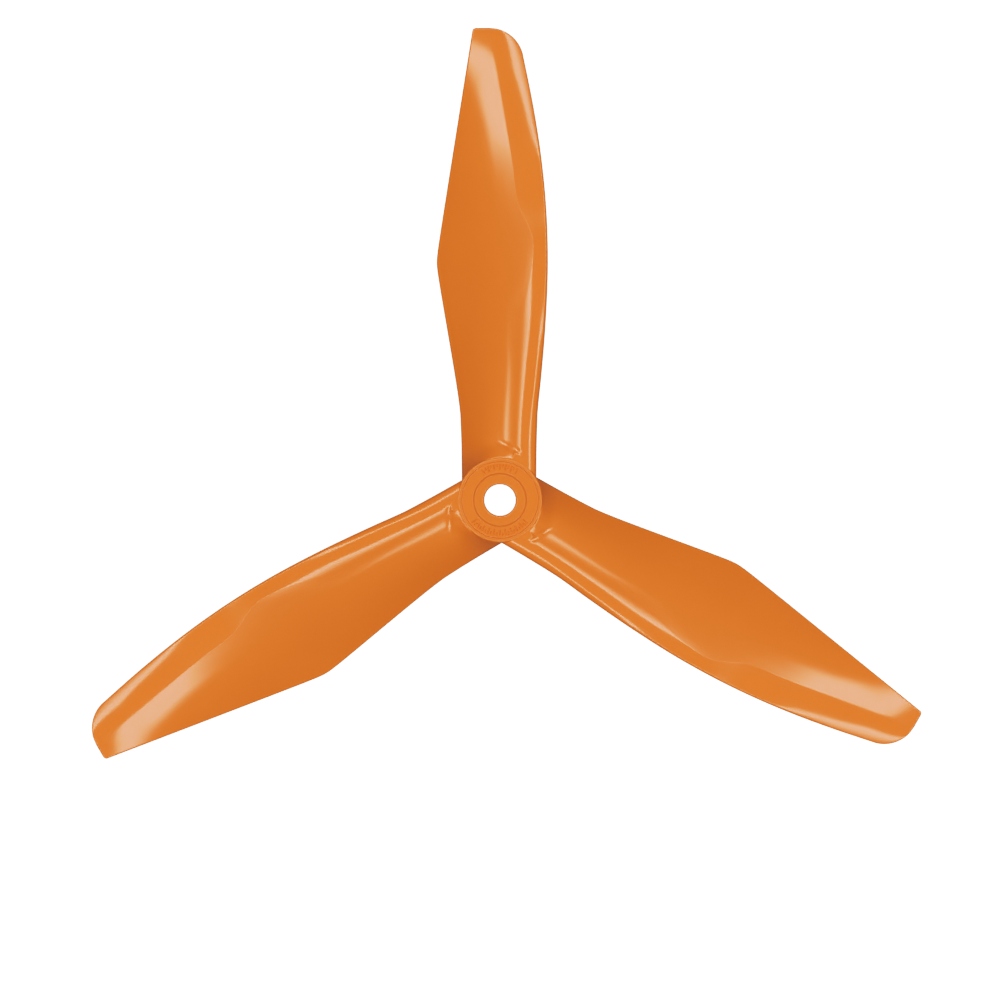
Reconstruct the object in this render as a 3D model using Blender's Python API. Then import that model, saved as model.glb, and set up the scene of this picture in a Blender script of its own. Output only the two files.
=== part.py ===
"""Three-blade multirotor propeller, six inches across, for a motor with a 5 mm shaft.

The hub is a turned boss whose motor side lies on z = 0, with its bore on the Z axis.
Three equal blades leave it every 120 degrees and turn clockwise seen from above.
Each blade is lofted through cross-sections in its own frame: y runs from the axis to the
tip, x runs across the blade from the trailing edge (negative) to the leading edge, and z
is up. All lengths below are millimetres and all angles are degrees.
"""
import math

import bmesh
import bpy
import numpy as np
from mathutils import Matrix

MM = 0.001

# ---- overall sizes
TIP_RADIUS = 76.2
BLADE_COUNT = 3
HUB_RADIUS = 6.9
HUB_HEIGHT = 7.0
BORE_RADIUS = 2.55
JOIN_GAP = 0.2

# ---- moulding plastic
ORANGE = (0.745, 0.212, 0.026)
GLOSS_ROUGHNESS = 0.15

# ---- hub details
BORE_CHAMFER = 0.3
EDGE_ROUND = 0.35
BOSS_RADIUS = 4.15
RECESS_INNER = 4.45
RECESS_OUTER = 6.05
RECESS_DEPTH = 0.3
RIM_INNER = 6.3
POCKET_INNER = 4.1
POCKET_OUTER = 5.7
POCKET_DEPTH = 4.2
RIB_COUNT = 6
RIB_WIDTH = 1.0
POCKET_STEPS = 8
HUB_SEGMENTS = 72
HUB_SHARP_ANGLE = 35.0

# ---- outline of the blade, seen from above
ROOT_HALF_WIDTH = 6.06
FLARE_RADIUS = 22.0
FLARE_WIDTH = 7.53
FLARE_SLOPE = 0.176
TAPER_RADIUS = 48.0
TAPER_WIDTH = 8.92
TAPER_SLOPE = -0.161
ROOT_BLEND = 0.70
KINK_BLEND = 0.44
LEADING_SPAN = (3.0, 8.0, 14.0, 20.0, 28.0, 39.0, 48.0, 56.0, 64.0, 72.0)
LEADING_EDGE = (5.9, 5.86, 6.06, 6.65, 7.31, 7.71, 7.38, 6.56, 5.29, 3.68)
TIP_CORNER_RADIUS = 5.55
TIP_CORNER_X = -1.7
TRAILING_CORNER_RADIUS = 0.45

# ---- upper surface: its slope where lines along the blade cross each span station
SPAN = (4.0, 10.0, 20.0, 30.0, 38.0, 42.0, 48.0, 54.0, 60.0, 66.0, 70.0, 74.0, 76.2)
SPINE_X = -2.6
SPINE_HEIGHT = (4.65, 4.65, 4.6, 4.6, 4.66, 4.72, 4.88, 5.08, 5.24, 5.32, 5.38, 5.5, 5.55)
TRAILING_TILT = (44.0, 43.0, 38.0, 34.0, 31.5, 30.5, 29.5, 27.5, 25.0, 19.5, 14.5, 9.5, 6.0)
GUIDES = (
    # each guide: its x at every station, then its tilt there
    # aft
    ((-3.0, -3.0, -3.5, -4.0, -4.0, -4.0, -4.0, -3.8, -3.4, -4.2, -4.1, -3.6, -3.2),
     (36.0, 35.5, 32.0, 28.0, 26.5, 25.0, 23.5, 21.0, 18.2, 16.2, 13.2, 9.2, 5.0)),
    # crown
    ((-0.3, -0.3, 0.1, 0.2, 0.2, 0.1, -0.3, -0.8, -1.4, -2.6, -2.6, -2.4, -2.0),
     (20.0, 20.0, 21.0, 20.5, 19.5, 18.7, 17.6, 15.9, 13.4, 12.8, 12.7, 8.4, 3.0)),
    # ridge
    ((0.96, 0.96, 1.38, 1.6, 3.9, 3.6, 1.5, 1.2, 0.0, -0.7, -1.2, -1.6, -1.6),
     (13.4, 13.4, 14.7, 17.2, 16.9, 17.0, 16.5, 15.0, 12.6, 12.2, 12.0, 7.4, 2.5)),
    # valley
    ((2.4, 2.4, 2.75, 3.45, 5.15, 5.25, 2.85, 2.0, 0.95, -0.2, -0.85, -1.3, -1.2),
     (19.5, 19.5, 19.5, 17.6, 15.1, 16.2, 16.3, 14.9, 11.8, 11.6, 11.2, 6.4, 2.0)),
    # knee
    ((3.2, 3.2, 3.84, 4.7, 5.3, 5.3, 2.89, 2.06, 1.2, 0.35, -0.35, -0.8, -0.8),
     (12.8, 12.8, 12.8, 12.8, 7.5, 6.5, 6.5, 7.0, 7.0, 7.0, 7.0, 4.0, 1.0)),
    # rib
    ((3.7, 3.7, 4.5, 5.5, 5.9, 5.9, 5.2, 4.4, 3.2, 1.9, 1.0, 0.4, -0.4),
     (2.0, 2.0, 3.0, 4.0, 4.0, 3.0, 2.0, 1.0, -1.0, -2.0, -3.0, -3.0, -1.0)),
    # shoulder
    ((4.6, 4.6, 5.6, 6.5, 6.9, 6.9, 6.7, 6.3, 5.1, 3.5, 2.35, 1.4, -0.1),
     (-8.0, -8.0, -7.0, -8.0, -3.0, -3.0, -3.0, -3.5, -8.8, -9.5, -9.5, -9.0, -3.0)),
)
NOSE_TILT = (-24.0, -24.0, -29.0, -11.0, -3.5, -3.0, -3.0, -6.0, -14.0, -14.5, -14.5, -14.5, -10.0)
NOSE_RADIUS = (0.80, 0.75, 0.60, 0.50, 0.40, 0.38, 0.36, 0.35, 0.33, 0.30, 0.28, 0.26, 0.24)
GUIDE_SPACE = 0.02

# ---- lower surface and edges
TRAILING_THICKNESS = (1.0, 0.9, 0.7, 0.6, 0.55, 0.55, 0.55, 0.5, 0.5, 0.5, 0.45, 0.45, 0.45)
LOWER_TRAILING_TILT = (31.0, 30.0, 28.0, 26.5, 25.0, 24.5, 23.5, 21.5, 18.5, 14.0, 10.0, 6.0, 3.0)
LOWER_NOSE_TILT = (18.0, 18.0, 15.0, 12.0, 11.0, 10.0, 8.0, 6.0, 4.0, 3.0, 2.0, 0.0, -2.0)

# ---- where the blade meets the hub: a skirt that falls away from the rim
SKIRT_X = (-7.0, -6.0, -4.0, -2.0, -0.8, 0.0, 0.6, 1.2, 1.7, 2.1, 2.5, 2.9, 3.4, 3.8, 4.3, 7.0)
SKIRT_TOP = (3.6, 4.2, 5.6, 6.7, 6.88, 6.86, 6.89, 7.06, 7.07, 7.1, 7.4, 7.4, 7.05, 6.8, 6.6,
             5.5)
SKIRT_SLOPE = (1.2, 1.2, 1.15, 0.95, 0.6, 0.39, 0.37, 0.39, 0.36, 0.36, 0.45, 0.45, 0.15, 0.05,
               0.05, 0.05)
SKIRT_ROUND = (0.1, 0.1, 0.1, 0.1, 0.1, 0.1, 0.1, 0.7, 0.9, 0.6, 0.1, 0.1, 0.1, 0.1, 0.1, 0.1)
SKIRT_BLEND = (1.8, 1.8, 1.8, 1.2, 0.5, 0.14, 0.14, 0.14, 0.14, 0.14, 0.16, 0.14, 0.08, 0.05,
               0.03, 0.03)
RIM_STEP = 0.07
RIM_BLEND = 0.01
DITCH_DEPTH = (0.0, 0.0, 0.01, 0.03, 0.05, 0.05, 0.1, 0.12, 0.07, 0.04, 0.11, 0.09, 0.04, 0.0,
               0.0, 0.0)
DITCH_WIDTH = 0.45
DITCH_START = 9.25
DITCH_SLANT = -0.5

# ---- resolution of the loft
STATION_RADII = (12.0, 14.5, 17.5, 21.0, 25.0, 29.0, 33.0, 36.5, 38.5, 41.0, 45.0, 49.0, 53.0,
                 57.0, 61.0, 65.0, 68.5, 71.0, 72.6, 73.8, 74.6, 75.2, 75.6, 75.85, 76.02, 76.12,
                 76.18, 76.2)
ROOT_STATIONS = 8
COLUMN_COUNTS = (4, 3, 2, 3, 1, 3, 2, 2)
NOSE_POINTS = 4
BLADE_SHARP_ANGLE = 50.0


def law(values, at, span=SPAN):
    """Cubic curve through the given values, with slopes taken from each point's neighbours."""
    xs = np.asarray(span, dtype=float)
    ys = np.asarray(values, dtype=float)
    slopes = np.gradient(ys, xs)
    i = int(np.clip(np.searchsorted(xs, at) - 1, 0, len(xs) - 2))
    width = xs[i + 1] - xs[i]
    s = float(np.clip((at - xs[i]) / width, 0.0, 1.0))
    start = (1 + 2 * s) * (1 - s) ** 2 * ys[i] + s * (1 - s) ** 2 * width * slopes[i]
    end = s * s * (3 - 2 * s) * ys[i + 1] - s * s * (1 - s) * width * slopes[i + 1]
    return start + end


def tangent(tilts, at):
    return math.tan(math.radians(law(tilts, at)))


def blend_max(a, b, blend):
    """The larger of two values, with the corner between them rounded off."""
    return (a + b + math.sqrt((a - b) ** 2 + blend ** 2)) / 2


def blend_min(a, b, blend):
    return -blend_max(-a, -b, blend)


def trailing_edge(r):
    """Straight flare, rounded corner and straight taper, with a small corner at the tip."""
    flare = blend_max(ROOT_HALF_WIDTH, FLARE_WIDTH + FLARE_SLOPE * (r - FLARE_RADIUS), ROOT_BLEND)
    taper = TAPER_WIDTH + TAPER_SLOPE * (r - TAPER_RADIUS)
    past = max(r - (TIP_RADIUS - TRAILING_CORNER_RADIUS), 0.0)
    corner = TRAILING_CORNER_RADIUS - math.sqrt(max(TRAILING_CORNER_RADIUS ** 2 - past ** 2, 0.0))
    return corner - blend_min(flare, taper, KINK_BLEND)


def leading_edge(r):
    """A long curve that ends in a round corner, an arc that is tangent to the tip."""
    if r <= LEADING_SPAN[-1]:
        return law(LEADING_EDGE, r, LEADING_SPAN)
    rise = r - (TIP_RADIUS - TIP_CORNER_RADIUS)
    return TIP_CORNER_X + math.sqrt(max(TIP_CORNER_RADIUS ** 2 - rise ** 2, 0.0))


class Section:
    """The blade's cross-section at radius r, as heights above z = 0."""

    def __init__(self, r):
        self.r = r
        self.trailing = trailing_edge(r)
        self.leading = leading_edge(r)
        self.nose = law(NOSE_RADIUS, r)
        nose_slope = tangent(NOSE_TILT, r)
        self.nose_from = math.pi / 2 + math.atan(nose_slope)
        nose_x = self.leading - self.nose + self.nose * math.cos(self.nose_from)
        xs = [self.trailing]
        slopes = [tangent(TRAILING_TILT, r)]
        for i, (places, tilts) in enumerate(GUIDES):
            room = GUIDE_SPACE * (len(GUIDES) - i)
            xs.append(min(max(law(places, r), xs[-1] + GUIDE_SPACE), nose_x - room))
            slopes.append(tangent(tilts, r))
        self.xs = np.array(xs + [nose_x])
        self.slopes = np.array(slopes + [nose_slope])
        steps = np.diff(self.xs) * (self.slopes[1:] + self.slopes[:-1]) / 2
        self.zs = np.concatenate(([0.0], np.cumsum(steps)))
        self.zs += law(SPINE_HEIGHT, r) - self.upper(SPINE_X)
        self.lower_setup()

    def upper(self, x):
        """Height of the upper surface at x: its slope changes evenly between two guides."""
        i = int(np.clip(np.searchsorted(self.xs, x) - 1, 0, len(self.xs) - 2))
        dx = x - self.xs[i]
        bend = (self.slopes[i + 1] - self.slopes[i]) / (self.xs[i + 1] - self.xs[i])
        return self.zs[i] + self.slopes[i] * dx + bend * dx * dx / 2

    def lower_setup(self):
        """The nose is a round arc, and the lower surface is one curve from it to the back."""
        self.centre = (self.leading - self.nose, self.zs[-1] - self.nose * math.sin(self.nose_from))
        lower_slope = tangent(LOWER_NOSE_TILT, self.r)
        self.nose_to = math.atan(lower_slope) - math.pi / 2
        self.lower_x, self.lower_z = self.nose_point(1.0)
        self.back_z = self.zs[0] - law(TRAILING_THICKNESS, self.r)
        self.lower_slopes = (tangent(LOWER_TRAILING_TILT, self.r), lower_slope)

    def lower(self, x):
        width = self.lower_x - self.trailing
        s = (x - self.trailing) / width
        start = (1 + 2 * s) * (1 - s) ** 2 * self.back_z
        start += s * (1 - s) ** 2 * width * self.lower_slopes[0]
        end = s * s * (3 - 2 * s) * self.lower_z - s * s * (1 - s) * width * self.lower_slopes[1]
        return start + end

    def nose_point(self, share):
        """A point of the nose arc: share 0 is its upper end, share 1 its lower end."""
        angle = self.nose_from + (self.nose_to - self.nose_from) * share
        return (self.centre[0] + self.nose * math.cos(angle),
                self.centre[1] + self.nose * math.sin(angle))


def with_skirt(x, y, z):
    """Upper surface joined to the skirt, which falls outwards from the hub's rim to a ditch."""
    out = blend_max(math.hypot(x, y) - HUB_RADIUS, 0.0, law(SKIRT_ROUND, x, SKIRT_X))
    skirt = law(SKIRT_TOP, x, SKIRT_X) - law(SKIRT_SLOPE, x, SKIRT_X) * out
    skirt = blend_min(skirt, HUB_HEIGHT - RIM_STEP, RIM_BLEND)
    off = (y - DITCH_START - DITCH_SLANT * x) / math.hypot(1.0, DITCH_SLANT)
    ditch = law(DITCH_DEPTH, x, SKIRT_X) * math.exp(-(off / DITCH_WIDTH) ** 2)
    return blend_max(z, skirt, law(SKIRT_BLEND, x, SKIRT_X)) - ditch


def column_shares():
    """Where the loft's columns stand, as pairs of a guide interval and a share of it."""
    return [(i, j / count) for i, count in enumerate(COLUMN_COUNTS) for j in range(count)]


def section_points(radius_at):
    """One closed loop of the loft; radius_at(x) is how far out its point at x stands."""
    middle = Section(radius_at(0.0))
    upper = []
    lower = []
    for interval, share in column_shares():
        a, b = middle.xs[interval], middle.xs[interval + 1]
        x = a + (b - a) * share
        y = radius_at(x)
        here = Section(y)
        upper.append((x, y, with_skirt(x, y, here.upper(x))))
        lower.append((x, y, here.lower(x)))
    nose = []
    for k in range(NOSE_POINTS + 1):
        share = k / NOSE_POINTS
        y = radius_at(middle.nose_point(share)[0])
        x, z = Section(y).nose_point(share)
        nose.append((x, y, z))
    return upper, nose, lower


def hub_arc(x):
    """How far out the hub's wall is at x, with the gap that keeps the two solids apart."""
    return math.sqrt((HUB_RADIUS + JOIN_GAP) ** 2 - x * x)


def blade_mesh():
    """Loft of all sections: the first ones bend from the hub's round wall to a straight cut."""
    first = STATION_RADII[0]
    loops = []
    for k in range(ROOT_STATIONS):
        share = k / ROOT_STATIONS
        loops.append(section_points(lambda x: hub_arc(x) * (1 - share) + first * share))
    for radius in STATION_RADII:
        loops.append(section_points(lambda x: radius))

    bm = bmesh.new()
    rings = []
    for upper, nose, lower in loops:
        ring = [bm.verts.new([MM * c for c in p]) for p in upper + nose + lower[::-1]]
        rings.append(ring)
    size = len(rings[0])
    for ring_a, ring_b in zip(rings, rings[1:]):
        for i in range(size):
            j = (i + 1) % size
            bm.faces.new((ring_a[i], ring_a[j], ring_b[j], ring_b[i]))
    columns = len(loops[0][0])
    for ring in (rings[0], rings[-1]):
        for i in range(columns - 1):
            bm.faces.new((ring[i], ring[i + 1], ring[size - 2 - i], ring[size - 1 - i]))
        bm.faces.new(ring[columns - 1:size - columns + 1])
    bmesh.ops.recalc_face_normals(bm, faces=bm.faces)
    mesh = bpy.data.meshes.new("blade")
    bm.to_mesh(mesh)
    bm.free()
    mesh.shade_smooth()
    mesh.set_sharp_from_angle(angle=math.radians(BLADE_SHARP_ANGLE))
    return mesh


def arc_points(centre_r, centre_z, radius, start, end, count):
    """Points of a round edge in the hub's turned profile."""
    angles = [math.radians(start + (end - start) * k / count) for k in range(count + 1)]
    return [(centre_r + radius * math.cos(a), centre_z + radius * math.sin(a)) for a in angles]


def hub_profile():
    """Half section of the hub, (r, z), from the bore up over the top and down the wall."""
    top = HUB_HEIGHT
    floor = HUB_HEIGHT - RECESS_DEPTH
    points = [(BORE_RADIUS, BORE_CHAMFER), (BORE_RADIUS, top - BORE_CHAMFER)]
    points += [(BORE_RADIUS + BORE_CHAMFER, top), (BOSS_RADIUS, top)]
    points += [(RECESS_INNER, floor), (RECESS_OUTER, floor), (RIM_INNER, top)]
    points += arc_points(HUB_RADIUS - EDGE_ROUND, top - EDGE_ROUND, EDGE_ROUND, 90.0, 0.0, 3)
    points += arc_points(HUB_RADIUS - EDGE_ROUND, EDGE_ROUND, EDGE_ROUND, 0.0, -90.0, 2)
    points.append((BORE_RADIUS + BORE_CHAMFER, 0.0))
    return points


def turned_mesh(name, profile, segments):
    """Closed ring of the profile turned about Z."""
    bm = bmesh.new()
    rings = []
    for k in range(segments):
        angle = 2 * math.pi * k / segments
        ring = [bm.verts.new((MM * r * math.cos(angle), MM * r * math.sin(angle), MM * z))
                for r, z in profile]
        rings.append(ring)
    for k, ring in enumerate(rings):
        after = rings[(k + 1) % segments]
        for i in range(len(profile)):
            j = (i + 1) % len(profile)
            bm.faces.new((ring[i], ring[j], after[j], after[i]))
    bmesh.ops.recalc_face_normals(bm, faces=bm.faces)
    mesh = bpy.data.meshes.new(name)
    bm.to_mesh(mesh)
    bm.free()
    mesh.shade_smooth()
    mesh.set_sharp_from_angle(angle=math.radians(HUB_SHARP_ANGLE))
    return mesh


def pocket_mesh():
    """Six lightening pockets of the hub's motor side, with a straight rib between each pair."""
    bm = bmesh.new()
    for k in range(RIB_COUNT):
        middle = 2 * math.pi * (k + 0.5) / RIB_COUNT
        outline = []
        for radius, way in ((POCKET_OUTER, 1), (POCKET_INNER, -1)):
            half = math.pi / RIB_COUNT - math.asin(RIB_WIDTH / 2 / radius)
            for i in range(POCKET_STEPS + 1):
                angle = middle + way * half * (2 * i / POCKET_STEPS - 1)
                outline.append((MM * radius * math.cos(angle), MM * radius * math.sin(angle)))
        low = [bm.verts.new((x, y, -POCKET_DEPTH * MM)) for x, y in outline]
        high = [bm.verts.new((x, y, POCKET_DEPTH * MM)) for x, y in outline]
        bm.faces.new(low[::-1])
        bm.faces.new(high)
        for i in range(len(low)):
            j = (i + 1) % len(low)
            bm.faces.new((low[i], low[j], high[j], high[i]))
    bmesh.ops.recalc_face_normals(bm, faces=bm.faces)
    mesh = bpy.data.meshes.new("pockets")
    bm.to_mesh(mesh)
    bm.free()
    return mesh


def plastic(name):
    """Glossy orange moulding plastic."""
    material = bpy.data.materials.new(name)
    material.use_nodes = True
    shader = material.node_tree.nodes["Principled BSDF"]
    shader.inputs["Base Color"].default_value = (*ORANGE, 1.0)
    shader.inputs["Roughness"].default_value = GLOSS_ROUGHNESS
    shader.inputs["Metallic"].default_value = 0.0
    return material


def add_object(name, mesh, material=None):
    obj = bpy.data.objects.new(name, mesh)
    bpy.context.scene.collection.objects.link(obj)
    if material is not None:
        obj.data.materials.append(material)
    return obj


def build_hub(material):
    hub = add_object("hub", turned_mesh("hub", hub_profile(), HUB_SEGMENTS), material)
    cutter = add_object("hub_pocket_cutter", pocket_mesh())
    cutter.hide_render = True
    cutter.display_type = "WIRE"
    cut = hub.modifiers.new("pockets", "BOOLEAN")
    cut.operation = "DIFFERENCE"
    cut.solver = "EXACT"
    cut.object = cutter
    return hub


def build_blades(material):
    mesh = blade_mesh()
    mesh.materials.append(material)
    for k in range(BLADE_COUNT):
        blade = add_object(f"blade_{k + 1}", mesh)
        blade.matrix_world = Matrix.Rotation(-2 * math.pi * k / BLADE_COUNT, 4, "Z")


def main():
    for obj in list(bpy.data.objects):
        bpy.data.objects.remove(obj, do_unlink=True)
    build_hub(plastic("hub_plastic"))
    build_blades(plastic("blade_plastic"))


main()
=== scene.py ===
"""Looks of the three-blade propeller: finely lofted blades, a turned hub, orange plastic.

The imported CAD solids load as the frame, and each one is replaced by a finer piece of the same
shape that rides on the same body. The blade is worked out in its own frame, in millimetres:
y runs from the axis to the tip, x from the trailing edge (negative) to the leading edge.
"""

import math

import bpy
import numpy as np
from mathutils import Matrix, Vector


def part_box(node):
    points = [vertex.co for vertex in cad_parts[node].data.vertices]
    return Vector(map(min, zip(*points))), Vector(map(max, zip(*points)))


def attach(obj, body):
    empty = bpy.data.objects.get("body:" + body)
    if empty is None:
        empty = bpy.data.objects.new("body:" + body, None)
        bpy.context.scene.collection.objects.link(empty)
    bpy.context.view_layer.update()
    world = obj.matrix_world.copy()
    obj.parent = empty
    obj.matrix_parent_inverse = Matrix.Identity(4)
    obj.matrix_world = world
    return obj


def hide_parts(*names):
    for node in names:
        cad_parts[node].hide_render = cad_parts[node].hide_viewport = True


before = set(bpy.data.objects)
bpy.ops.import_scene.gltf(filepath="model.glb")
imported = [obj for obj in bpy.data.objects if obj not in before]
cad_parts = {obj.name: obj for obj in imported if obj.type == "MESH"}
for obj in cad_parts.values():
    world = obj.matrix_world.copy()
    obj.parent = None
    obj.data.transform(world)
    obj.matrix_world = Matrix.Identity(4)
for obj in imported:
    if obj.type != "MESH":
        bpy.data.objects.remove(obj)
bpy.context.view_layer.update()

MM = 0.001
hub_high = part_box("hub")[1]
blade_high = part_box("blade_1")[1]
HUB_RADIUS = hub_high.x / MM
HUB_HEIGHT = hub_high.z / MM
TIP_RADIUS = blade_high.y / MM
BLADES = sorted(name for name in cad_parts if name.startswith("blade_"))

# ---- outline of the blade, seen from above
ROOT_HALF_WIDTH = 6.06
FLARE_RADIUS = 22.0
FLARE_WIDTH = 7.53
FLARE_SLOPE = 0.176
TAPER_RADIUS = 48.0
TAPER_WIDTH = 8.92
TAPER_SLOPE = -0.161
ROOT_BLEND = 0.70
KINK_BLEND = 0.44
LEADING_SPAN = (3.0, 8.0, 14.0, 20.0, 28.0, 39.0, 48.0, 56.0, 64.0, 72.0)
LEADING_EDGE = (5.9, 5.86, 6.06, 6.65, 7.31, 7.71, 7.38, 6.56, 5.29, 3.68)
TIP_CORNER_RADIUS = 5.55
TIP_CORNER_X = -1.7
TRAILING_CORNER_RADIUS = 0.45

# ---- upper surface: its slope where lines along the blade cross each span station
SPAN = (4.0, 10.0, 20.0, 30.0, 38.0, 42.0, 48.0, 54.0, 60.0, 66.0, 70.0, 74.0, 76.2)
SPINE_X = -2.6
SPINE_HEIGHT = (4.65, 4.65, 4.6, 4.6, 4.66, 4.72, 4.88, 5.08, 5.24, 5.32, 5.38, 5.5, 5.55)
TRAILING_TILT = (44.0, 43.0, 38.0, 34.0, 31.5, 30.5, 29.5, 27.5, 25.0, 19.5, 14.5, 9.5, 6.0)
GUIDES = (
    # each guide: its x at every station, then its tilt there
    # aft
    ((-3.0, -3.0, -3.5, -4.0, -4.0, -4.0, -4.0, -3.8, -3.4, -4.2, -4.1, -3.6, -3.2),
     (36.0, 35.5, 32.0, 28.0, 26.5, 25.0, 23.5, 21.0, 18.2, 16.2, 13.2, 9.2, 5.0)),
    # crown
    ((-0.3, -0.3, 0.1, 0.2, 0.2, 0.1, -0.3, -0.8, -1.4, -2.6, -2.6, -2.4, -2.0),
     (20.0, 20.0, 21.0, 20.5, 19.5, 18.7, 17.6, 15.9, 13.4, 12.8, 12.7, 8.4, 3.0)),
    # ridge
    ((0.96, 0.96, 1.38, 1.6, 3.9, 3.6, 1.5, 1.2, 0.0, -0.7, -1.2, -1.6, -1.6),
     (13.4, 13.4, 14.7, 17.2, 16.9, 17.0, 16.5, 15.0, 12.6, 12.2, 12.0, 7.4, 2.5)),
    # valley
    ((2.4, 2.4, 2.75, 3.45, 5.15, 5.28, 2.87, 2.0, 0.95, -0.2, -0.85, -1.3, -1.2),
     (19.5, 19.5, 19.5, 17.6, 15.1, 16.2, 16.3, 14.9, 11.8, 11.6, 11.2, 6.4, 2.0)),
    # knee
    ((3.2, 3.2, 3.84, 4.7, 5.3, 5.3, 2.89, 2.06, 1.2, 0.35, -0.35, -0.8, -0.8),
     (12.8, 12.8, 12.8, 12.8, 7.5, 6.5, 6.5, 7.0, 7.0, 7.0, 7.0, 4.0, 1.0)),
    # rib
    ((3.7, 3.7, 4.5, 5.5, 5.9, 5.9, 5.2, 4.4, 3.2, 1.9, 1.0, 0.4, -0.4),
     (2.0, 2.0, 3.0, 4.0, 4.0, 3.0, 2.0, 1.0, -1.0, -2.0, -3.0, -3.0, -1.0)),
    # shoulder
    ((4.6, 4.6, 5.6, 6.5, 6.9, 6.9, 6.7, 6.3, 5.1, 3.5, 2.35, 1.4, -0.1),
     (-8.0, -8.0, -7.0, -8.0, -3.0, -3.0, -3.0, -3.5, -8.8, -9.5, -9.5, -9.0, -3.0)),
)
NOSE_TILT = (-24.0, -24.0, -29.0, -11.0, -3.5, -3.0, -3.0, -6.0, -14.0, -14.5, -14.5, -14.5,
             -10.0)
NOSE_RADIUS = (0.80, 0.75, 0.60, 0.50, 0.40, 0.38, 0.36, 0.35, 0.33, 0.30, 0.28, 0.26, 0.24)
SLOPE_BLEND = 0.008
GUIDE_SPACE = 0.02

# ---- lower surface and edges
TRAILING_THICKNESS = (1.0, 0.9, 0.7, 0.6, 0.55, 0.55, 0.55, 0.5, 0.5, 0.5, 0.45, 0.45, 0.45)
LOWER_TRAILING_TILT = (31.0, 30.0, 28.0, 26.5, 25.0, 24.5, 23.5, 21.5, 18.5, 14.0, 10.0, 6.0, 3.0)
LOWER_NOSE_TILT = (18.0, 18.0, 15.0, 12.0, 11.0, 10.0, 8.0, 6.0, 4.0, 3.0, 2.0, 0.0, -2.0)
BACK_ROUND = 0.16
TIP_ROUND = 0.22
TIP_LEAST = 0.03

# ---- where the blade meets the hub: a skirt that falls away from the rim
SKIRT_X = (-7.0, -6.0, -4.0, -2.0, -0.8, 0.0, 0.6, 1.2, 1.7, 2.1, 2.5, 2.9, 3.4, 3.8, 4.3, 7.0)
SKIRT_TOP = (3.6, 4.2, 5.6, 6.7, 6.88, 6.86, 6.89, 7.06, 7.07, 7.1, 7.4, 7.4, 7.05, 6.8, 6.6,
             5.5)
SKIRT_SLOPE = (1.2, 1.2, 1.15, 0.95, 0.6, 0.39, 0.37, 0.39, 0.36, 0.36, 0.45, 0.45, 0.15, 0.05,
               0.05, 0.05)
SKIRT_ROUND = (0.1, 0.1, 0.1, 0.1, 0.1, 0.1, 0.1, 0.7, 0.9, 0.6, 0.1, 0.1, 0.1, 0.1, 0.1, 0.1)
SKIRT_BLEND = (1.8, 1.8, 1.8, 1.2, 0.5, 0.14, 0.14, 0.14, 0.14, 0.14, 0.16, 0.14, 0.08, 0.05,
               0.03, 0.03)
RIM_STEP = 0.07
RIM_BLEND = 0.01
DITCH_DEPTH = (0.0, 0.0, 0.01, 0.03, 0.05, 0.05, 0.1, 0.12, 0.07, 0.04, 0.11, 0.09, 0.04, 0.0,
               0.0, 0.0)
DITCH_WIDTH = 0.45
DITCH_START = 9.25
DITCH_SLANT = -0.5
UNDER_FILLET = 1.3
UNDER_FILLET_FLOOR = 0.25
UNDER_FILLET_LEAST = 0.01
ROOT_INSIDE = 0.45

# ---- hub, from the bore outwards
BORE_RADIUS = 2.55
BORE_ROUND = 0.28
BOSS_RADIUS = 4.15
RECESS_INNER = 4.45
RECESS_OUTER = 6.05
RECESS_DEPTH = 0.3
RIM_INNER = 6.3
EDGE_ROUND = 0.35
POCKET_INNER = 4.1
POCKET_OUTER = 5.7
POCKET_DEPTH = 4.2
RIB_COUNT = 6
RIB_WIDTH = 1.0
SMALL_ROUND = 0.12

# ---- short raised bars in the hub's recess, in degrees round the hub
MARK_ARCS = ((60, 121), (219, 322))
MARK_PITCH = 5
MARK_TOP = 1
MARK_INNER = 4.8
MARK_MIDDLE = 5.25
MARK_OUTER = 5.75
MARK_HEIGHT = 0.12

# ---- mesh of the hub: extra loops in the flats of its section, by radius or height
HUB_SEGMENTS = 360
HUB_SHARP_ANGLE = 40.0
NUT_SEAT_LOOPS = (3.2, 3.6)
RECESS_LOOPS = np.linspace(4.7, 5.8, 12)
WALL_LOOPS = np.linspace(5.5, 1.5, 5)
MOTOR_SEAT_LOOP = 3.4
BORE_LOOP_INSET = 1.0
BORE_LOOP_COUNT = 4
POCKET_WALL_SHARES = (0.02, 0.3, 0.6, 0.9)
POCKET_CORNER = 0.15

# ---- mesh of the blade: columns between one guide and the next, and rows along the span
BLADE_SHARP_ANGLE = 60.0
COLUMNS = (
    # (count, how far they gather towards the second guide, or towards the first where negative)
    (14, 0.0), (14, 0.0), (10, 0.0), (16, 0.8), (8, 0.0), (14, -0.8), (10, 0.0), (14, 0.6),
)
TOP_COLUMNS = sum(count for count, gather in COLUMNS)
NOSE_COLUMNS = 20
LOWER_COLUMNS = 48
BACK_COLUMNS = 6
ROOT_ROWS = 84
SPAN_ROWS = 190
ROOT_END = 14.0
TIP_GATHER = 0.35


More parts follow.
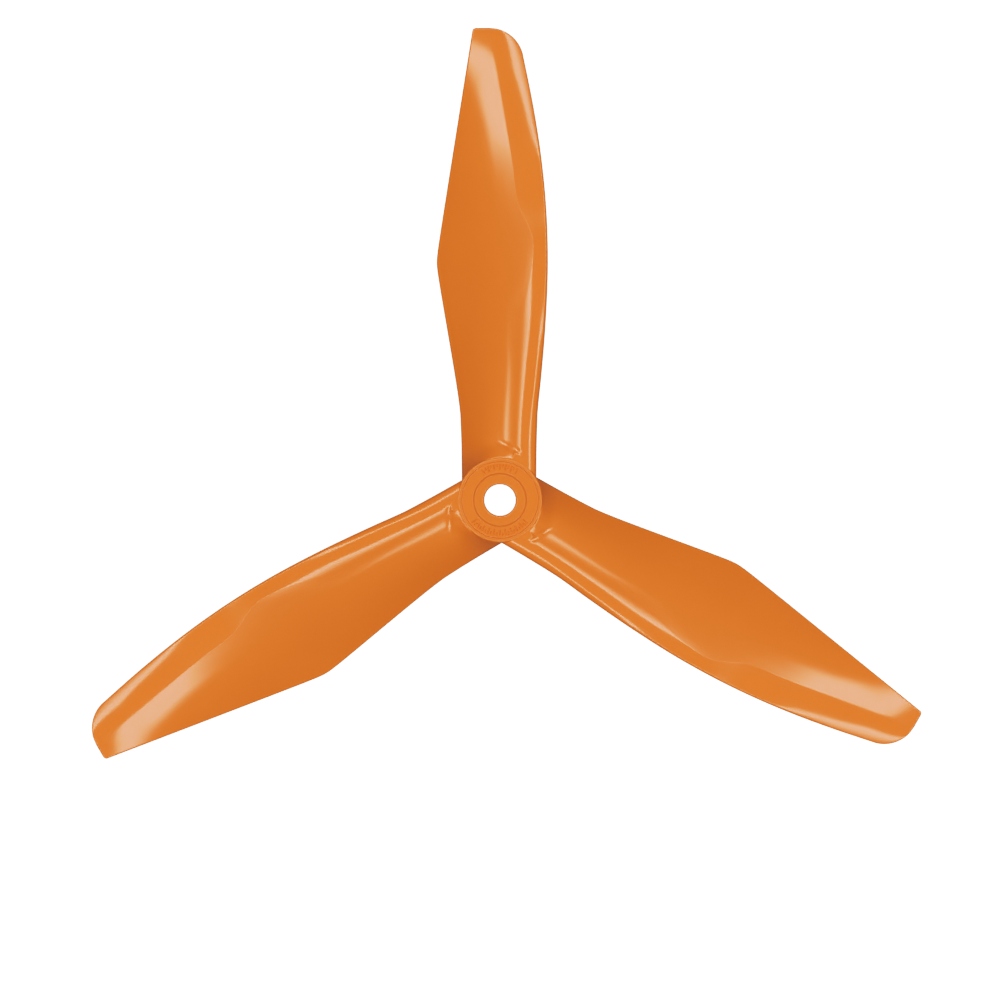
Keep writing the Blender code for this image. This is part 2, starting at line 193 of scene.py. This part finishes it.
def law(values, at, span=SPAN):
    """Cubic curve through the given values, with slopes taken from each point's neighbours."""
    xs = np.asarray(span, dtype=float)
    ys = np.asarray(values, dtype=float)
    slopes = np.gradient(ys, xs)
    at = np.asarray(at, dtype=float)
    i = np.clip(np.searchsorted(xs, at) - 1, 0, len(xs) - 2)
    width = xs[i + 1] - xs[i]
    s = np.clip((at - xs[i]) / width, 0.0, 1.0)
    start = (1 + 2 * s) * (1 - s) ** 2 * ys[i] + s * (1 - s) ** 2 * width * slopes[i]
    end = s * s * (3 - 2 * s) * ys[i + 1] - s * s * (1 - s) * width * slopes[i + 1]
    return start + end


def blend_max(a, b, blend):
    """The larger of two values, with the corner between them rounded off."""
    return (a + b + np.sqrt((a - b) ** 2 + blend ** 2)) / 2


def blend_min(a, b, blend):
    return -blend_max(-a, -b, blend)


def trailing_edge(r):
    """Straight flare, rounded corner and straight taper, with a small corner at the tip."""
    flare = blend_max(ROOT_HALF_WIDTH, FLARE_WIDTH + FLARE_SLOPE * (r - FLARE_RADIUS), ROOT_BLEND)
    taper = TAPER_WIDTH + TAPER_SLOPE * (r - TAPER_RADIUS)
    past = np.clip(r - (TIP_RADIUS - TRAILING_CORNER_RADIUS), 0.0, TRAILING_CORNER_RADIUS)
    corner = TRAILING_CORNER_RADIUS - np.sqrt(TRAILING_CORNER_RADIUS ** 2 - past ** 2)
    return corner - blend_min(flare, taper, KINK_BLEND)


def leading_edge(r):
    """A long curve that ends in a round corner, an arc that is tangent to the tip."""
    rise = np.clip(r - (TIP_RADIUS - TIP_CORNER_RADIUS), 0.0, TIP_CORNER_RADIUS)
    corner = TIP_CORNER_X + np.sqrt(TIP_CORNER_RADIUS ** 2 - rise ** 2)
    return np.where(r <= LEADING_SPAN[-1], law(LEADING_EDGE, r, LEADING_SPAN), corner)


def tangent(values, r):
    return np.tan(np.radians(law(values, r)))


class Sections:
    """Cross-sections of the blade at an array of radii, one for each point that is asked for."""

    def __init__(self, r):
        self.r = r
        self.trailing = trailing_edge(r)
        self.leading = leading_edge(r)
        self.nose = law(NOSE_RADIUS, r)
        nose_slope = tangent(NOSE_TILT, r)
        self.nose_from = math.pi / 2 + np.arctan(nose_slope)
        nose_x = self.leading - self.nose + self.nose * np.cos(self.nose_from)
        xs = [self.trailing]
        slopes = [tangent(TRAILING_TILT, r)]
        for i, (places, tilts) in enumerate(GUIDES):
            room = GUIDE_SPACE * (len(GUIDES) - i)
            xs.append(np.minimum(np.maximum(law(places, r), xs[-1] + GUIDE_SPACE), nose_x - room))
            slopes.append(tangent(tilts, r))
        xs.append(nose_x)
        slopes.append(nose_slope)
        self.xs = np.array(xs)
        self.slopes = np.array(slopes)
        self.bends = np.diff(self.slopes, axis=0) / np.diff(self.xs, axis=0)
        self.level = law(SPINE_HEIGHT, r) - self.run(SPINE_X)
        centre_x = self.leading - self.nose
        centre_z = self.upper(nose_x) - self.nose * np.sin(self.nose_from)
        lower_slope = tangent(LOWER_NOSE_TILT, r)
        self.nose_to = -math.pi / 2 + np.arctan(lower_slope)
        self.centre = (centre_x, centre_z)
        self.lower_x = centre_x + self.nose * np.cos(self.nose_to)
        self.lower_z = centre_z + self.nose * np.sin(self.nose_to)
        self.back_z = self.upper(self.trailing) - law(TRAILING_THICKNESS, r)
        self.lower_slopes = (tangent(LOWER_TRAILING_TILT, r), lower_slope)

    def run(self, x):
        """Height gained from the trailing edge to x. The slope changes evenly between guides."""
        out = x - self.xs[0]
        total = self.slopes[0] * out + self.bends[0] * out ** 2 / 2
        for place, change in zip(self.xs[1:-1], np.diff(self.bends, axis=0)):
            d = x - place
            root = np.sqrt(d * d + SLOPE_BLEND ** 2)
            bend = SLOPE_BLEND ** 2 * np.arcsinh(d / SLOPE_BLEND)
            total = total + change * (d * d + d * root + bend) / 4
        return total

    def upper(self, x):
        return self.level + self.run(x)

    def lower(self, x):
        width = self.lower_x - self.trailing
        s = (x - self.trailing) / width
        start = (1 + 2 * s) * (1 - s) ** 2 * self.back_z
        start = start + s * (1 - s) ** 2 * width * self.lower_slopes[0]
        end = s * s * (3 - 2 * s) * self.lower_z - s * s * (1 - s) * width * self.lower_slopes[1]
        return start + end


def with_skirt(x, y, z):
    """Upper surface joined to the skirt, which falls outwards from the hub's rim to a ditch."""
    out = blend_max(np.hypot(x, y) - HUB_RADIUS, 0.0, law(SKIRT_ROUND, x, SKIRT_X))
    skirt = law(SKIRT_TOP, x, SKIRT_X) - law(SKIRT_SLOPE, x, SKIRT_X) * out
    skirt = blend_min(skirt, HUB_HEIGHT - RIM_STEP, RIM_BLEND)
    off = (y - DITCH_START - DITCH_SLANT * x) / math.hypot(1.0, DITCH_SLANT)
    ditch = law(DITCH_DEPTH, x, SKIRT_X) * np.exp(-(off / DITCH_WIDTH) ** 2)
    return blend_max(z, skirt, law(SKIRT_BLEND, x, SKIRT_X)) - ditch


def lower_fillet(x, y, z):
    """How far a round fillet under the blade reaches down the hub's wall."""
    radius = np.clip(z - UNDER_FILLET_FLOOR, UNDER_FILLET_LEAST, UNDER_FILLET)
    out = np.clip(np.hypot(x, y) - HUB_RADIUS, 0.0, radius)
    return radius - np.sqrt(radius ** 2 - (radius - out) ** 2)


def row_points(radius_at):
    """One loop of the loft, from the back over the top and the nose and back underneath."""
    middle = Sections(np.array(radius_at(0.0)))
    first = float(middle.trailing) + BACK_ROUND
    marks = [first] + [float(x) for x in middle.xs[1:]]
    steps = []
    for a, b, (count, gather) in zip(marks, marks[1:], COLUMNS):
        share = np.arange(count) / count
        steps.append(a + (b - a) * (share + gather * share * (1 - share)))
    top_x = np.append(np.concatenate(steps), marks[-1])
    low_x = np.linspace(float(middle.lower_x), first, LOWER_COLUMNS)

    y_top = radius_at(top_x)
    z_top = Sections(y_top).upper(top_x)
    z_top = with_skirt(top_x, y_top, z_top)

    share = np.arange(1, NOSE_COLUMNS) / NOSE_COLUMNS
    angle = middle.nose_from + (middle.nose_to - middle.nose_from) * share
    nose_x = float(middle.centre[0]) + float(middle.nose) * np.cos(angle)
    y_nose = radius_at(nose_x)
    local = Sections(y_nose)
    nose_z = local.centre[1] + local.nose * np.sin(angle)

    y_low = radius_at(low_x)
    z_low = Sections(y_low).lower(low_x)
    z_low = z_low - lower_fillet(low_x, y_low, z_low)

    turn = np.linspace(0.0, math.pi, BACK_COLUMNS + 1)[1:-1]
    back_x = first - BACK_ROUND * np.sin(turn)
    y_back = radius_at(back_x)
    middle_z = (z_low[-1] + z_top[0]) / 2
    back_z = middle_z - (z_top[0] - z_low[-1]) / 2 * np.cos(turn)

    x = np.concatenate((top_x, nose_x, low_x, back_x))
    y = np.concatenate((y_top, y_nose, y_low, y_back))
    z = np.concatenate((z_top, nose_z, z_low, back_z))
    return np.stack((x, y, z), axis=1)


def squeeze(points, share):
    """Draws a loop in towards its own middle surface, to round off the tip."""
    first_low = TOP_COLUMNS + NOSE_COLUMNS
    top = points[:TOP_COLUMNS + 1]
    low = points[first_low:first_low + LOWER_COLUMNS][::-1]
    middle = (np.interp(points[:, 0], top[:, 0], top[:, 2])
              + np.interp(points[:, 0], low[:, 0], low[:, 2])) / 2
    points[:, 2] = middle + (points[:, 2] - middle) * share
    return points


def blade_rows():
    """All loops: the first bend from the hub's round wall to a straight cut across the blade."""
    start = HUB_RADIUS - ROOT_INSIDE
    rows = []
    for k in range(ROOT_ROWS):
        share = k / ROOT_ROWS
        rows.append(row_points(
            lambda x: np.sqrt(start ** 2 - np.asarray(x) ** 2) * (1 - share) + ROOT_END * share))
    turn = np.linspace(0.0, 1.0, SPAN_ROWS)
    gathered = (1.0 + TIP_GATHER) * turn - TIP_GATHER * turn ** 3
    for r in ROOT_END + (TIP_RADIUS - ROOT_END) * gathered:
        past = (r - (TIP_RADIUS - TIP_ROUND)) / TIP_ROUND
        points = row_points(lambda x: np.asarray(x) * 0.0 + r)
        if past > 0:
            points = squeeze(points, math.sqrt(max(1.0 - past * past, TIP_LEAST ** 2)))
        rows.append(points)
    return rows


def end_faces(points, start):
    """Triangles that close one end of the blade, zipped from the trailing edge to the nose."""
    half = TOP_COLUMNS + 1 + NOSE_COLUMNS // 2
    top = list(range(half))
    low = list(range(half, len(points)))[::-1]
    faces = []
    i = j = 0
    while i < len(top) - 1 or j < len(low) - 1:
        low_done = j == len(low) - 1
        top_left = i < len(top) - 1
        if low_done or (top_left and points[top[i + 1]][0] < points[low[j + 1]][0]):
            faces.append((start + top[i], start + top[i + 1], start + low[j]))
            i += 1
        else:
            faces.append((start + top[i], start + low[j + 1], start + low[j]))
            j += 1
    return faces


def grid_mesh(name, rows, closed, sharp_angle):
    """Mesh of equal loops of points, joined one to the next, in a ring or with ends."""
    size = len(rows[0])
    count = len(rows)
    faces = []
    for k in range(count if closed else count - 1):
        a = k * size
        b = ((k + 1) % count) * size
        for i in range(size):
            j = (i + 1) % size
            faces.append((a + i, a + j, b + j, b + i))
    if not closed:
        faces += [face[::-1] for face in end_faces(rows[0], 0)]
        faces += end_faces(rows[-1], (count - 1) * size)
    mesh = bpy.data.meshes.new(name)
    mesh.from_pydata((np.concatenate(rows) * MM).tolist(), [], faces)
    if mesh_volume(mesh) < 0:
        mesh.flip_normals()
    mesh.shade_smooth()
    mesh.set_sharp_from_angle(angle=math.radians(sharp_angle))
    return mesh


def mesh_volume(mesh):
    """Volume inside a closed mesh, negative where its faces point in."""
    points = np.empty(len(mesh.vertices) * 3)
    mesh.vertices.foreach_get("co", points)
    points = points.reshape(-1, 3)
    mesh.calc_loop_triangles()
    corners = np.empty(len(mesh.loop_triangles) * 3, dtype=np.int32)
    mesh.loop_triangles.foreach_get("vertices", corners)
    a, b, c = points[corners.reshape(-1, 3)].transpose(1, 0, 2)
    return float(np.einsum("ij,ij->", a, np.cross(b, c))) / 6


def arc(centre_r, centre_z, radius, start, end, count):
    """Points along a round edge of the hub's profile, as (radius, height)."""
    angles = np.radians(np.linspace(start, end, count))
    return [(centre_r + radius * math.cos(a), centre_z + radius * math.sin(a)) for a in angles]


def hub_profile():
    """Half section of the hub, from the bore over the top, down the wall and in underneath.

    Each point is (radius, height, depth): depth is how far it sinks into a pocket from below.
    """
    top = HUB_HEIGHT
    floor = top - RECESS_DEPTH
    small = SMALL_ROUND
    points = arc(BORE_RADIUS + BORE_ROUND, top - BORE_ROUND, BORE_ROUND, 180.0, 90.0, 6)
    points += [(r, top) for r in NUT_SEAT_LOOPS]
    points += arc(BOSS_RADIUS - small, top - small, small, 90.0, 45.0, 4)
    points += arc(RECESS_INNER, floor + small, small, 225.0, 270.0, 4)
    points += [(r, floor) for r in RECESS_LOOPS]
    points += arc(RECESS_OUTER, floor + small, small, 270.0, 315.0, 4)
    points += arc(RIM_INNER, top - small, small, 135.0, 90.0, 4)
    points += arc(HUB_RADIUS - EDGE_ROUND, top - EDGE_ROUND, EDGE_ROUND, 90.0, 0.0, 9)
    points += [(HUB_RADIUS, z) for z in WALL_LOOPS]
    points += arc(HUB_RADIUS - EDGE_ROUND, EDGE_ROUND, EDGE_ROUND, 0.0, -90.0, 7)
    points.append((POCKET_OUTER + small, 0.0))
    profile = [(r, z, 0.0) for r, z in points]
    profile += [(POCKET_OUTER, 0.0, share) for share in POCKET_WALL_SHARES]
    roof = np.linspace(POCKET_OUTER - POCKET_CORNER, POCKET_INNER + POCKET_CORNER, 3)
    profile += [(r, 0.0, 1.0) for r in roof]
    profile += [(POCKET_INNER, 0.0, share) for share in POCKET_WALL_SHARES[::-1]]
    profile += [(POCKET_INNER - small, 0.0, 0.0), (MOTOR_SEAT_LOOP, 0.0, 0.0)]
    ends = arc(BORE_RADIUS + BORE_ROUND, BORE_ROUND, BORE_ROUND, 270.0, 180.0, 6)
    bore = np.linspace(BORE_LOOP_INSET, HUB_HEIGHT - BORE_LOOP_INSET, BORE_LOOP_COUNT)
    ends += [(BORE_RADIUS, z) for z in bore]
    return profile + [(r, z, 0.0) for r, z in ends]


def pocket_share(radius, angle):
    """1 inside a pocket of the motor side, 0 in the ribs between them, with a steep wall."""
    step = 2 * math.pi / RIB_COUNT
    off = abs((angle / step + 0.5) % 1.0 - 0.5) * step
    from_rib = radius * math.sin(off) - RIB_WIDTH / 2
    return min(max(from_rib / SMALL_ROUND, 0.0), 1.0)


def on_mark(radius, angle):
    """True on the raised bars, which stand in for the lettering: every other one is short."""
    degrees = round(math.degrees(angle))
    for start, end in MARK_ARCS:
        bar, past = divmod(degrees - start, MARK_PITCH)
        inner = MARK_MIDDLE if bar % 2 else MARK_INNER
        if start <= degrees <= end and past <= MARK_TOP and inner < radius < MARK_OUTER:
            return True
    return False


def hub_mesh():
    """The hub's section turned about its axis, with pockets from below and bars in the recess."""
    profile = hub_profile()
    rows = []
    for k in range(HUB_SEGMENTS):
        angle = 2 * math.pi * k / HUB_SEGMENTS
        row = []
        for r, z, depth in profile:
            height = z
            if depth:
                height += depth * POCKET_DEPTH * pocket_share(r, angle)
            elif z > HUB_HEIGHT / 2 and on_mark(r, angle):
                height += MARK_HEIGHT
            row.append((r * math.cos(angle), r * math.sin(angle), height))
        rows.append(np.array(row))
    return grid_mesh("hub_fine", rows, True, HUB_SHARP_ANGLE)


# ---- finish of the moulding
PLASTIC_IOR = 1.54
FLOW_SCALE = 90.0
FLOW_DETAIL = 4.0
FLOW_TINTS = ((0.3, (0.732, 0.194, 0.0120, 1.0)), (0.7, (0.750, 0.201, 0.0130, 1.0)))
GRAIN_SCALE = 900.0
GRAIN_DETAIL = 3.0
SMOOTHEST = 0.10
ROUGHEST = 0.16


def plastic(name):
    """Glossy orange moulded plastic, with faint flow marks and a very fine uneven surface."""
    material = bpy.data.materials.new(name)
    material.use_nodes = True
    nodes = material.node_tree.nodes
    links = material.node_tree.links
    shader = nodes["Principled BSDF"]
    shader.inputs["IOR"].default_value = PLASTIC_IOR

    place = nodes.new("ShaderNodeTexCoord")
    flow = nodes.new("ShaderNodeTexNoise")
    flow.inputs["Scale"].default_value = FLOW_SCALE
    flow.inputs["Detail"].default_value = FLOW_DETAIL
    links.new(place.outputs["Object"], flow.inputs["Vector"])
    tint = nodes.new("ShaderNodeValToRGB")
    for element, (position, color) in zip(tint.color_ramp.elements, FLOW_TINTS):
        element.position = position
        element.color = color
    links.new(flow.outputs["Fac"], tint.inputs["Fac"])
    links.new(tint.outputs["Color"], shader.inputs["Base Color"])

    grain = nodes.new("ShaderNodeTexNoise")
    grain.inputs["Scale"].default_value = GRAIN_SCALE
    grain.inputs["Detail"].default_value = GRAIN_DETAIL
    links.new(place.outputs["Object"], grain.inputs["Vector"])
    polish = nodes.new("ShaderNodeMapRange")
    polish.inputs["To Min"].default_value = SMOOTHEST
    polish.inputs["To Max"].default_value = ROUGHEST
    links.new(grain.outputs["Fac"], polish.inputs["Value"])
    links.new(polish.outputs["Result"], shader.inputs["Roughness"])
    return material


def add_piece(name, mesh, node):
    """A fine piece that stands for a CAD node and rides on the propeller's only body."""
    piece = bpy.data.objects.new(name, mesh)
    bpy.context.scene.collection.objects.link(piece)
    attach(piece, "root")
    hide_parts(node)


def build_pieces():
    hub = hub_mesh()
    hub.materials.append(plastic("hub_orange"))
    add_piece("hub_moulding", hub, "hub")
    orange = plastic("blade_orange")
    base = grid_mesh("blade_fine", blade_rows(), False, BLADE_SHARP_ANGLE)
    for k, node in enumerate(BLADES):
        mesh = base.copy()
        mesh.transform(Matrix.Rotation(-2 * math.pi * k / len(BLADES), 4, "Z"))
        mesh.materials.append(orange)
        add_piece(f"{node}_moulding", mesh, node)


# ---- studio, in metres
FIELD_WIDTH = 0.1614
FIELD_HEIGHT = 0.0055
CAMERA_HEIGHT = 1.2
SENSOR = 36.0
FLOOR_HALF = 1.5
FLOOR_GREY = 0.12
FLOOR_ROUGHNESS = 0.9
FLOOR_SPECULAR = 0.1
FLOOR_BOUNCE = 0.2
BACKDROP = 1.3
SKY_STOPS = (
    # (degrees from straight up, brightness)
    (0.0, 0.34), (19.0, 0.34), (20.5, 6.5), (27.0, 6.5), (32.5, 0.27), (60.0, 0.14), (90.0, 0.07),
)

# ---- film response: pairs of the light that comes in and the light that is shown
FILM_WHITE = 1.25
SHOULDER = ((0.75, 0.75), (1.0, 0.83))
RED_RESPONSE = ((0.25, 0.34), (0.5, 0.565), (0.75, 0.753))
GREEN_RESPONSE = ((0.16, 0.149), (0.215, 0.215))
BLUE_RESPONSE = ((0.016, 0.019), (0.03, 0.028), (0.07, 0.05), (0.16, 0.115), (0.23, 0.172),
                 (0.28, 0.262))


def add_floor():
    """Plain white floor that glows for the camera, so the propeller's shadow does not show."""
    square = ((-1, -1), (1, -1), (1, 1), (-1, 1))
    corners = [(x * FLOOR_HALF, y * FLOOR_HALF, 0.0) for x, y in square]
    mesh = bpy.data.meshes.new("floor")
    mesh.from_pydata(corners, [], [(0, 1, 2, 3)])
    material = bpy.data.materials.new("floor_white")
    material.use_nodes = True
    nodes = material.node_tree.nodes
    links = material.node_tree.links
    shader = nodes["Principled BSDF"]
    shader.inputs["Base Color"].default_value = (FLOOR_GREY, FLOOR_GREY, FLOOR_GREY, 1.0)
    shader.inputs["Roughness"].default_value = FLOOR_ROUGHNESS
    shader.inputs["Specular IOR Level"].default_value = FLOOR_SPECULAR
    shader.inputs["Emission Color"].default_value = (1.0, 1.0, 1.0, 1.0)
    path = nodes.new("ShaderNodeLightPath")
    bounce = nodes.new("ShaderNodeMath")
    bounce.operation = "MULTIPLY"
    bounce.inputs[1].default_value = FLOOR_BOUNCE
    links.new(path.outputs["Is Diffuse Ray"], bounce.inputs[0])
    glow = nodes.new("ShaderNodeMath")
    glow.operation = "MULTIPLY_ADD"
    glow.inputs[1].default_value = BACKDROP
    links.new(path.outputs["Is Camera Ray"], glow.inputs[0])
    links.new(bounce.outputs["Value"], glow.inputs[2])
    links.new(glow.outputs["Value"], shader.inputs["Emission Strength"])
    mesh.materials.append(material)
    floor = bpy.data.objects.new("floor", mesh)
    bpy.context.scene.collection.objects.link(floor)


def add_sky():
    """Soft light that is the same all round, from a bright ring overhead and a dim surround."""
    world = bpy.data.worlds.new("studio")
    bpy.context.scene.world = world
    world.use_nodes = True
    nodes = world.node_tree.nodes
    links = world.node_tree.links
    background = nodes["Background"]
    place = nodes.new("ShaderNodeTexCoord")
    split = nodes.new("ShaderNodeSeparateXYZ")
    links.new(place.outputs["Generated"], split.inputs["Vector"])
    angle = nodes.new("ShaderNodeMath")
    angle.operation = "ARCCOSINE"
    links.new(split.outputs["Z"], angle.inputs[0])
    share = nodes.new("ShaderNodeMath")
    share.operation = "DIVIDE"
    share.inputs[1].default_value = math.pi / 2
    links.new(angle.outputs["Value"], share.inputs[0])
    ramp = nodes.new("ShaderNodeValToRGB")
    strength = max(value for degrees, value in SKY_STOPS)
    elements = ramp.color_ramp.elements
    while len(elements) < len(SKY_STOPS):
        elements.new(0.5)
    for element, (degrees, value) in zip(elements, SKY_STOPS):
        element.position = degrees / 90.0
        level = value / strength
        element.color = (level, level, level, 1.0)
    links.new(share.outputs["Value"], ramp.inputs["Fac"])
    links.new(ramp.outputs["Color"], background.inputs["Color"])
    background.inputs["Strength"].default_value = strength

    backdrop = nodes.new("ShaderNodeBackground")
    backdrop.inputs["Color"].default_value = (1.0, 1.0, 1.0, 1.0)
    backdrop.inputs["Strength"].default_value = BACKDROP
    path = nodes.new("ShaderNodeLightPath")
    mix = nodes.new("ShaderNodeMixShader")
    links.new(path.outputs["Is Camera Ray"], mix.inputs["Fac"])
    links.new(background.outputs["Background"], mix.inputs[1])
    links.new(backdrop.outputs["Background"], mix.inputs[2])
    links.new(mix.outputs["Shader"], nodes["World Output"].inputs["Surface"])


def add_film_response():
    """Warm, slightly deeper tones, and a soft shoulder from the bright ones to white."""
    view = bpy.context.scene.view_settings
    view.view_transform = "Standard"
    view.use_curve_mapping = True
    mapping = view.curve_mapping
    mapping.white_level = (FILM_WHITE, FILM_WHITE, FILM_WHITE)
    red, green, blue, combined = mapping.curves
    for light, shown in SHOULDER:
        combined.points.new(light / FILM_WHITE, shown)
    for curve, response in ((red, RED_RESPONSE), (green, GREEN_RESPONSE), (blue, BLUE_RESPONSE)):
        for light, shown in response:
            curve.points.new(light / FILM_WHITE, shown / FILM_WHITE)
    for curve in (red, green, blue, combined):
        for point in curve.points:
            point.handle_type = "VECTOR"
    mapping.update()


def add_camera():
    """Looks straight down at the hub; the field's width is met at the blades' height."""
    data = bpy.data.cameras.new("camera")
    data.sensor_width = SENSOR
    data.lens = SENSOR * (CAMERA_HEIGHT - FIELD_HEIGHT) / FIELD_WIDTH
    camera = bpy.data.objects.new("camera", data)
    camera.location = (0.0, 0.0, CAMERA_HEIGHT)
    bpy.context.scene.collection.objects.link(camera)
    bpy.context.scene.camera = camera


add_film_response()
build_pieces()
add_floor()
add_sky()
add_camera()
